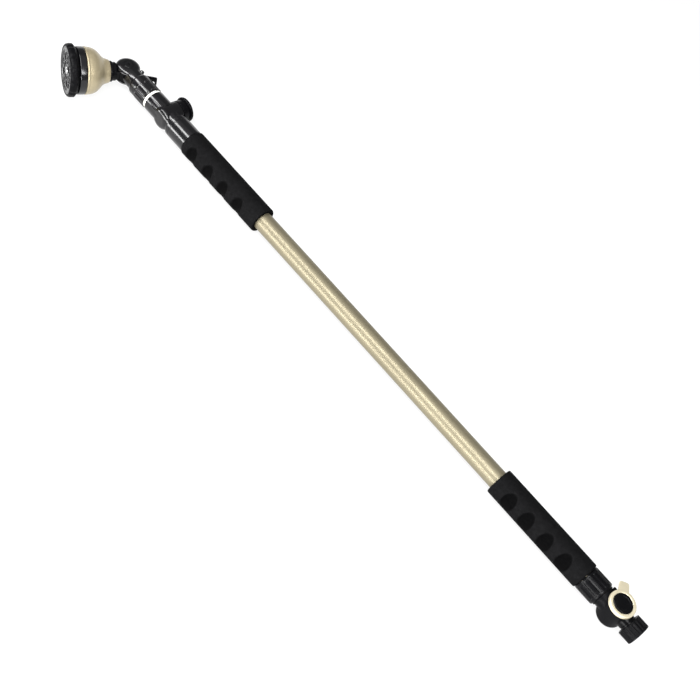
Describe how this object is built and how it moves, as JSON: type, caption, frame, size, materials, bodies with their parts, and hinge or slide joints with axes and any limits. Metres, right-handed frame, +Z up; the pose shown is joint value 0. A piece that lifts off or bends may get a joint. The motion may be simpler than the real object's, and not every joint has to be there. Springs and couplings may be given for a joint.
{
  "type": "watering wand",
  "caption": "Telescoping watering wand with foam grips, hose coupling, shut-off lever, flow knob, pivoting head and turning spray dial.",
  "frame": {"origin": "middle of the underside of the wand's box as it lies on the ground, collapsed, head bent to the front", "axes": "+X along the tube from the head to the hose end, +Z up, the head bends towards -Y"},
  "size_m": [1.0188, 0.12, 0.0685],
  "materials": {
    "champagne_aluminium": "champagne anodised, fine satin",
    "gold_paint": "champagne metallic paint",
    "foam": "closed-cell foam, matte",
    "black_plastic": "semi-matte moulded",
    "gloss_black_plastic": "glossy moulded",
    "white_nylon": "moulded",
    "aluminium": "satin",
    "brass": "machined",
    "steel": "zinc plated",
    "rubber": "matte"
  },
  "bodies": {
    "wand_body": {"outer_tube": "champagne_aluminium", "lower_grip": "foam", "upper_grip": "foam", "tail_adapter": "brass", "union_nut": "black_plastic", "union_washer": "rubber", "shut_off_valve_body": "black_plastic", "shut_off_gland": "brass", "shut_off_seat_inlet": "white_nylon", "shut_off_seat_outlet": "white_nylon", "hose_tailpiece": "black_plastic", "lock_sleeve": "brass", "lock_collet": "white_nylon"},
    "hose_coupling": {"hose_coupling": "black_plastic", "hose_washer": "rubber"},
    "shut_off_lever": {"lever_ring": "gold_paint", "lever_cap": "black_plastic", "lever_screw": "steel", "shut_off_stem": "brass", "shut_off_stem_o_ring": "rubber", "shut_off_ball": "steel"},
    "lock_nut": {"lock_nut": "gloss_black_plastic"},
    "extension": {"inner_tube": "aluminium", "piston": "brass", "piston_o_ring_rear": "rubber", "piston_o_ring_front": "rubber", "flow_valve_body": "gloss_black_plastic", "flow_gland": "brass", "flow_seat_inlet": "white_nylon", "flow_seat_outlet": "white_nylon", "swivel_washer": "white_nylon", "swivel_nut": "gloss_black_plastic", "pivot_yoke": "gloss_black_plastic", "pivot_bolt": "gloss_black_plastic", "pivot_nut": "gloss_black_plastic", "lever_pin": "steel", "lever_spring": "steel"},
    "flow_knob": {"flow_knob": "black_plastic", "flow_knob_cap": "gloss_black_plastic", "flow_knob_screw": "steel", "flow_stem": "brass", "flow_stem_o_ring": "rubber", "flow_ball": "steel"},
    "release_lever": {"release_lever": "black_plastic"},
    "head": {"head_knuckle": "black_plastic", "knuckle_seal_upper": "rubber", "knuckle_seal_lower": "rubber", "bell_housing": "gold_paint", "distributor": "gloss_black_plastic", "distributor_seal": "rubber", "detent_ball": "steel", "detent_spring": "steel", "centre_screw": "steel"},
    "dial": {"dial_bezel": "black_plastic", "pattern_disc": "black_plastic", "spray_face": "black_plastic", "nozzle_insert_1": "gloss_black_plastic", "nozzle_insert_2": "gloss_black_plastic", "nozzle_insert_3": "gloss_black_plastic", "nozzle_insert_4": "gloss_black_plastic"}
  },
  "joints": [
    {"name": "hose_coupling_spin", "type": "hinge", "parent": "wand_body", "child": "hose_coupling", "pos_m": [0.5014, 0.02676, 0.02176], "axis": [1, 0, 0], "continuous": true},
    {"name": "shut_off_turn", "type": "hinge", "parent": "wand_body", "child": "shut_off_lever", "pos_m": [0.4724, 0.02676, 0.02176], "axis": [0, 0.1857, 0.9826], "range_deg": [-90, 0]},
    {"name": "lock_nut_twist", "type": "hinge", "parent": "wand_body", "child": "lock_nut", "pos_m": [-0.3228, 0.02676, 0.02176], "axis": [-1, 0, 0], "range_deg": [0, 60]},
    {"name": "tube_extend", "type": "slide", "parent": "wand_body", "child": "extension", "axis": [-1, 0, 0], "range_m": [0, 0.7315]},
    {"name": "flow_knob_turn", "type": "hinge", "parent": "extension", "child": "flow_knob", "pos_m": [-0.3566, 0.02676, 0.02176], "axis": [0, 0.9826, -0.1857], "range_deg": [0, 90]},
    {"name": "head_pivot", "type": "hinge", "parent": "extension", "child": "head", "pos_m": [-0.4452, 0.02676, 0.02176], "axis": [0, 0.1857, 0.9826], "range_deg": [-154.9, 25.1]},
    {"name": "release_lever_press", "type": "hinge", "parent": "extension", "child": "release_lever", "pos_m": [-0.4301, 0.03777, 0.01968], "axis": [0, -0.1857, -0.9826], "range_deg": [0, 8], "stiffness_Nm_per_rad": 0.3, "springref_deg": -17.19},
    {"name": "dial_turn", "type": "hinge", "parent": "head", "child": "dial", "pos_m": [-0.4452, 0.02676, 0.02176], "axis": [-0.4242, -0.8898, 0.1681], "continuous": true}
  ]
}
